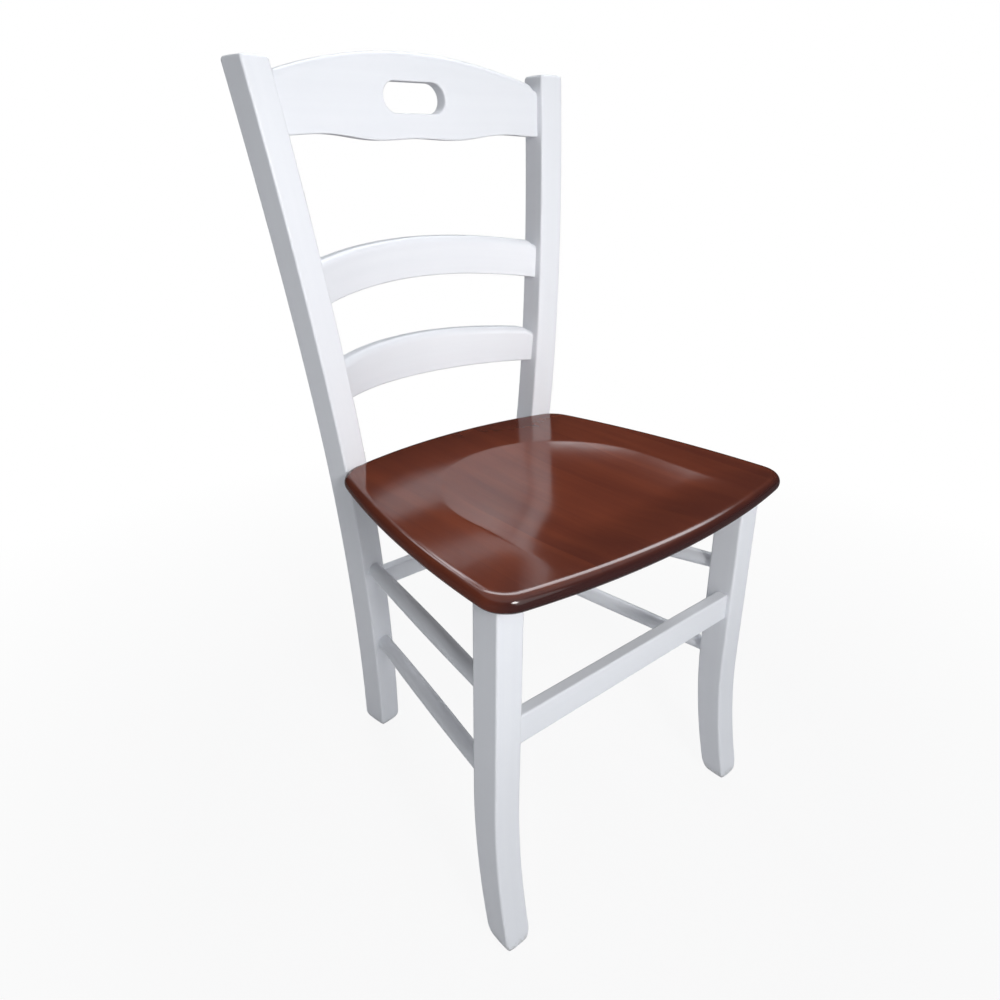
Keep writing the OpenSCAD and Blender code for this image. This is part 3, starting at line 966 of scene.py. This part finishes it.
def evenLap(lap, count):
    reach = [0.0]
    for k in range(len(lap)):
        reach.append(reach[-1] + (lap[(k + 1) % len(lap)] - lap[k]).length)
    points, at = [], 0
    for n in range(count):
        wanted = reach[-1] * n / count
        while reach[at + 1] < wanted:
            at += 1
        t = (wanted - reach[at]) / max(reach[at + 1] - reach[at], 1e-9)
        points.append(lap[at].lerp(lap[(at + 1) % len(lap)], t))
    return points


def scoop(look, x, y):
    centreY = seatHigh.y - look["scoopBackRim"] - look["scoopHalfWidth"]
    side = abs(x) if y < centreY else hypot(x, y - centreY)
    inside = look["scoopHalfWidth"] - side
    if inside <= -look["scoopOutside"]:
        return 0.0
    inside = (inside + sqrt(inside * inside + look["scoopBrim"] ** 2)) / 2
    t = min(1.0, inside / look["scoopRun"])
    depth = look["scoopDepth"] * (1 - (1 - t) ** 2)
    fadeStart = seatLow.y + look["scoopFrontStart"]
    return depth * easeIn(y, fadeStart, seatLow.y + look["scoopFrontFade"])


def makeSeat(look):
    thick = seatHigh.z - seatLow.z
    edgeRound = thick / 2
    lap = seatOutline(look)
    count = len(lap)
    inward = []
    for k in range(count):
        run = lap[(k + 1) % count] - lap[k - 1]
        inward.append(Vector((-run.y, run.x)).normalized())
    centre = Vector((0, (seatLow.y + seatHigh.y) / 2))
    points, rim = [], []

    # each point's rim value sets how far it goes to the dark edge colour: partly toner stain,
    # partly painted shade, full below, easing off up the edge, and less on the side edges as
    # painted light
    def ring(inset, share, height, stainAndShade, paintedSideLight=0.0):
        for p, n in zip(lap, inward):
            q = (p + n * inset).lerp(centre, share)
            z = height if height is not None else seatHigh.z - scoop(look, q.x, q.y)
            points.append((q.x, q.y, z))
            rim.append(stainAndShade * (1 - paintedSideLight * n.x ** look["sideEdgePower"]))

    for k in range(look["underSteps"]):
        share = look["underStart"] - look["underStart"] * k / look["underSteps"]
        ring(edgeRound, share, seatLow.z, 1.0)
    for k in range(look["edgeSteps"] + 1):
        a = pi * k / look["edgeSteps"]
        shade = 1.0 - (1.0 - look["topEdgeShade"]) * easeIn(a, look["upperEdgeFrom"], pi)
        paintedSideLight = look["sideEdgePaintedLight"] * easeIn(a, look["sideEdgeFrom"], look["sideEdgeTo"])
        ring(edgeRound * (1 - sin(a)), 0, seatLow.z + edgeRound * (1 - cos(a)), shade, paintedSideLight)
    for k in range(1, look["topSteps"] + 1):
        share = k / look["topSteps"] * look["topEnd"]
        shade = look["topEdgeShade"] * (1 - easeIn(share, 0.0, look["topShadeRun"]))
        ring(edgeRound, share, None, shade, look["sideEdgePaintedLight"])
    rings = len(points) // count
    faces = []
    for j in range(rings - 1):
        for k in range(count):
            n = (k + 1) % count
            faces.append((j * count + k, j * count + n, (j + 1) * count + n, (j + 1) * count + k))
    under, over = len(points), len(points) + 1
    points.append((centre.x, centre.y, seatLow.z))
    points.append((centre.x, centre.y, seatHigh.z - scoop(look, centre.x, centre.y)))
    rim += [1.0, 0.0]
    last = (rings - 1) * count
    for k in range(count):
        n = (k + 1) % count
        faces.append((under, n, k))
        faces.append((over, last + k, last + n))
    piece = newPiece("seatBoard", points, faces)
    stainAndShade = piece.data.attributes.new("rim", "FLOAT", "POINT")
    for k, value in enumerate(rim):
        stainAndShade.data[k].value = value
    piece.data.shade_smooth()
    piece.data.materials.append(brownVarnish)
    handOver(piece, "brown_varnish", "seat_panel")


makeSeat(seatBoard)
print("chair: seat shaped")

# floor, light and camera

stageLook = {
    "floorSize": 12.0,
    "floorColour": (0.74, 0.74, 0.75, 1.0),
    "floorMirrored": (0.2, 0.19, 0.19, 1.0),
    "fadeFrom": 0.45,
    "fadeTo": 1.3,
    "floorRoughness": 0.9,
    "floorShine": 0.1,
    "nearGlow": 0.9,                    # share of plain white in the floor beside the chair
    "worldColour": (0.93, 0.96, 1.0, 1.0),
    "worldStrength": 0.49,
    "worldSlope": 0.5,                  # how much dimmer it is to the chair's left
    "worldFall": 0.3,                   # and overhead
    "mirrorLow": 0.022,                 # the dim walls that the varnish mirrors
    "mirrorHigh": 0.7,                  # the ceiling over them
    "mirrorLamp": 7.0,                  # the bright lamp that glints along the seat's edge
    "mirrorFrom": 0.57,
    "lampFrom": 0.6,
    "mirrorEdge": 0.08,
}


def makeFloor(look):
    half = look["floorSize"] / 2
    corners = [(-half, -half, 0), (half, -half, 0), (half, half, 0), (-half, half, 0)]
    floor = newPiece("floor", corners, [(0, 1, 2, 3)])
    paint, tree, shader = startPaint("paleFloor", look["floorRoughness"], look["floorShine"])
    spot = addNode(tree, "ShaderNodeTexCoord").outputs["Object"]
    x, y = splitVector(tree, spot)[:2]
    away = (x * x + y * y).root()
    far = ((away - look["fadeFrom"]) / (look["fadeTo"] - look["fadeFrom"])).clip()
    path = addNode(tree, "ShaderNodeLightPath")
    feed(tree, shader.inputs["Base Color"],
         mixColour(tree, path.outputs["Is Glossy Ray"], look["floorColour"], look["floorMirrored"]))
    seen = fieldValue(tree, path.outputs["Is Camera Ray"])
    glow = addNode(tree, "ShaderNodeEmission", {"Color": (1, 1, 1, 1), "Strength": 1.0})
    share = (far * (1.0 - look["nearGlow"]) + look["nearGlow"]) * seen
    mixed = addNode(tree, "ShaderNodeMixShader", {0: share})
    tree.links.new(shader.outputs[0], mixed.inputs[1])
    tree.links.new(glow.outputs[0], mixed.inputs[2])
    finish = tree.nodes["Material Output"]
    tree.links.new(mixed.outputs[0], finish.inputs["Surface"])
    floor.data.materials.append(paint)


def makeWorld(look):
    world = bpy.data.worlds.new("studio")
    bpy.context.scene.world = world
    world.use_nodes = True
    tree = world.node_tree
    path = addNode(tree, "ShaderNodeLightPath")
    direction = addNode(tree, "ShaderNodeTexCoord").outputs["Generated"]
    aside, ahead, up = splitVector(tree, direction)
    above = ((up - look["mirrorFrom"]) / look["mirrorEdge"]).clip()
    behind = ((aside + ahead - look["lampFrom"]) / look["mirrorEdge"]).clip()
    mirrored = above * (look["mirrorHigh"] - look["mirrorLow"]) + look["mirrorLow"]
    mirrored = mirrored + above * behind * look["mirrorLamp"]
    glossy = fieldValue(tree, path.outputs["Is Glossy Ray"])
    ambient = aside * look["worldSlope"] - up * look["worldFall"] + 1.0
    ambient = ambient * look["worldStrength"]
    strength = glossy * mirrored + (1.0 - glossy) * ambient
    back = tree.nodes["Background"]
    back.inputs["Color"].default_value = look["worldColour"]
    feed(tree, back.inputs["Strength"], strength)
    white = addNode(tree, "ShaderNodeBackground", {"Color": (1, 1, 1, 1), "Strength": 1.0})
    camera = fieldValue(tree, path.outputs["Is Camera Ray"])
    clear = fieldValue(tree, path.outputs["Is Transmission Ray"])
    mixed = addNode(tree, "ShaderNodeMixShader", {0: (camera + clear).clip()})
    tree.links.new(back.outputs[0], mixed.inputs[1])
    tree.links.new(white.outputs[0], mixed.inputs[2])
    tree.links.new(mixed.outputs[0], tree.nodes["World Output"].inputs["Surface"])


keyLamp = {
    "power": 6.9,
    "size": 1.5,
    "spread": pi,
    "spot": Vector((-0.1, -2.0, 1.05)),
    "aim": Vector((0, 0, 0.5)),
}

# a narrow one that lifts the chair's back
backLamp = {
    "power": 2.85,
    "size": 0.5,
    "spread": radians(66),
    "spot": Vector((-0.5, -1.6, 1.25)),
    "aim": Vector((0, 0.2, 0.64)),
}

# a low one for the left side under the seat
lowLamp = {
    "power": 0.38,
    "size": 0.3,
    "spread": radians(100),
    "spot": Vector((-1.15, -0.35, 0.3)),
    "aim": Vector((-0.1, 0.1, 0.24)),
}

# one behind, for the chair's back and the bars' tops
rearLamp = {
    "power": 11.0,
    "size": 0.8,
    "spread": pi,
    "spot": Vector((0.9, 2.4, 0.8)),
    "aim": Vector((0, 0, 0.4)),
}


def makeLamp(name, look, mirrored):
    data = bpy.data.lights.new(name, "AREA")
    data.spread = look["spread"]
    data.energy = look["power"]
    data.shape = "DISK"
    data.size = look["size"]
    lamp = bpy.data.objects.new(name, data)
    lamp.location = look["spot"]
    lamp.rotation_euler = (look["aim"] - look["spot"]).to_track_quat("-Z", "Y").to_euler()
    lamp.visible_glossy = mirrored
    bpy.context.scene.collection.objects.link(lamp)


makeFloor(stageLook)
makeWorld(stageLook)
makeLamp("keyLamp", keyLamp, True)
makeLamp("backLamp", backLamp, True)
makeLamp("lowLamp", lowLamp, False)
makeLamp("rearLamp", rearLamp, False)

view = {
    "spot": (-0.5780, -0.6253, 0.8005),
    "pitch": radians(90 - 24.58),
    "roll": radians(-0.25),
    "heading": radians(-40.18),
    "lens": 27.72,
    "sensor": 36,
    "shift": (0.00315, -0.00109),
}

lensData = bpy.data.cameras.new("camera")
lensData.lens = view["lens"]
lensData.sensor_width = view["sensor"]
lensData.shift_x, lensData.shift_y = view["shift"]
camera = bpy.data.objects.new("camera", lensData)
aimed = (Matrix.Rotation(view["heading"], 4, "Z") @ Matrix.Rotation(view["pitch"], 4, "X")
         @ Matrix.Rotation(view["roll"], 4, "Z"))
camera.matrix_world = Matrix.Translation(view["spot"]) @ aimed
bpy.context.scene.collection.objects.link(camera)
bpy.context.scene.camera = camera
bpy.context.scene.view_settings.view_transform = "Standard"
print("chair: floor, light and camera set")
